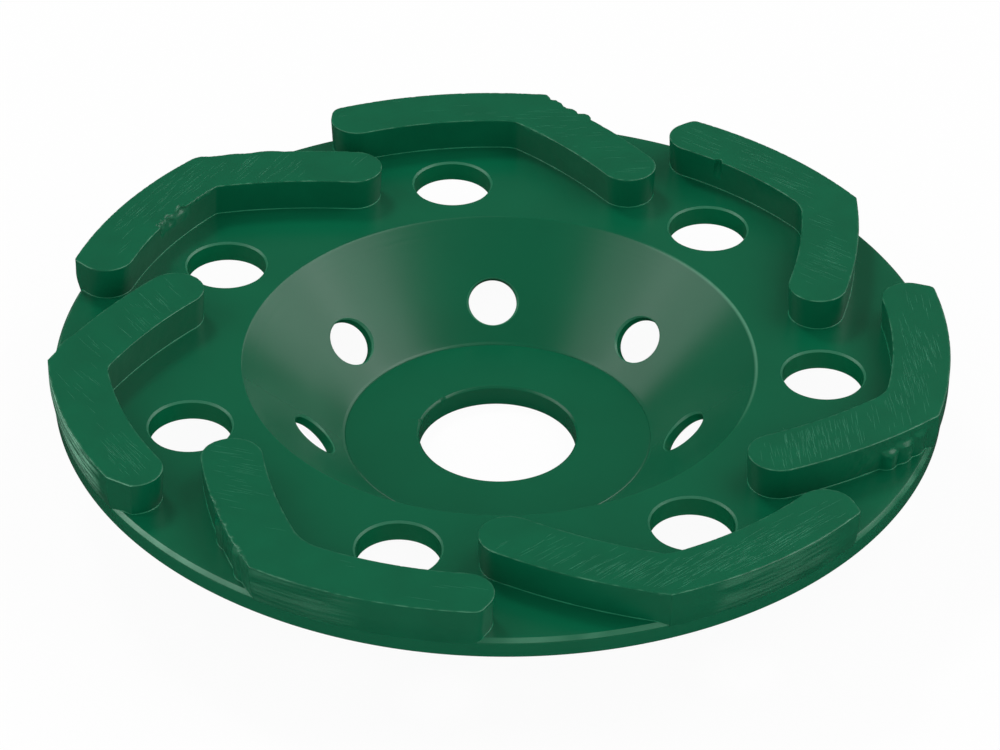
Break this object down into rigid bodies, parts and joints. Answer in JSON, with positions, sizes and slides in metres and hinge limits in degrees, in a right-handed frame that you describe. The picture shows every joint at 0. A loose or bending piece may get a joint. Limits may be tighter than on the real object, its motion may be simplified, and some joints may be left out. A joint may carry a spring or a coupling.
{
  "type": "diamond cup wheel",
  "caption": "Flanged steel cup on a plain arbor bore, with holes through its flange and cone and a ring of bent grinding segments on the flange.",
  "frame": {"origin": "centre of the arbor bore on the hub's outer face, which lies against the grinder's backing flange", "axes": "+Z along the arbor, out of the cup's mouth towards the segments; +X and +Y across the wheel, with -Y towards the camera of the picture"},
  "size_m": [0.1244, 0.1249, 0.021],
  "materials": {
    "cup_paint": "satin",
    "segment_paint": "matte"
  },
  "bodies": {
    "root": {"cup_body": "cup_paint", "segment_1": "segment_paint", "segment_2": "segment_paint", "segment_3": "segment_paint", "segment_4": "segment_paint", "segment_5": "segment_paint", "segment_6": "segment_paint", "segment_7": "segment_paint"}
  },
  "joints": []
}
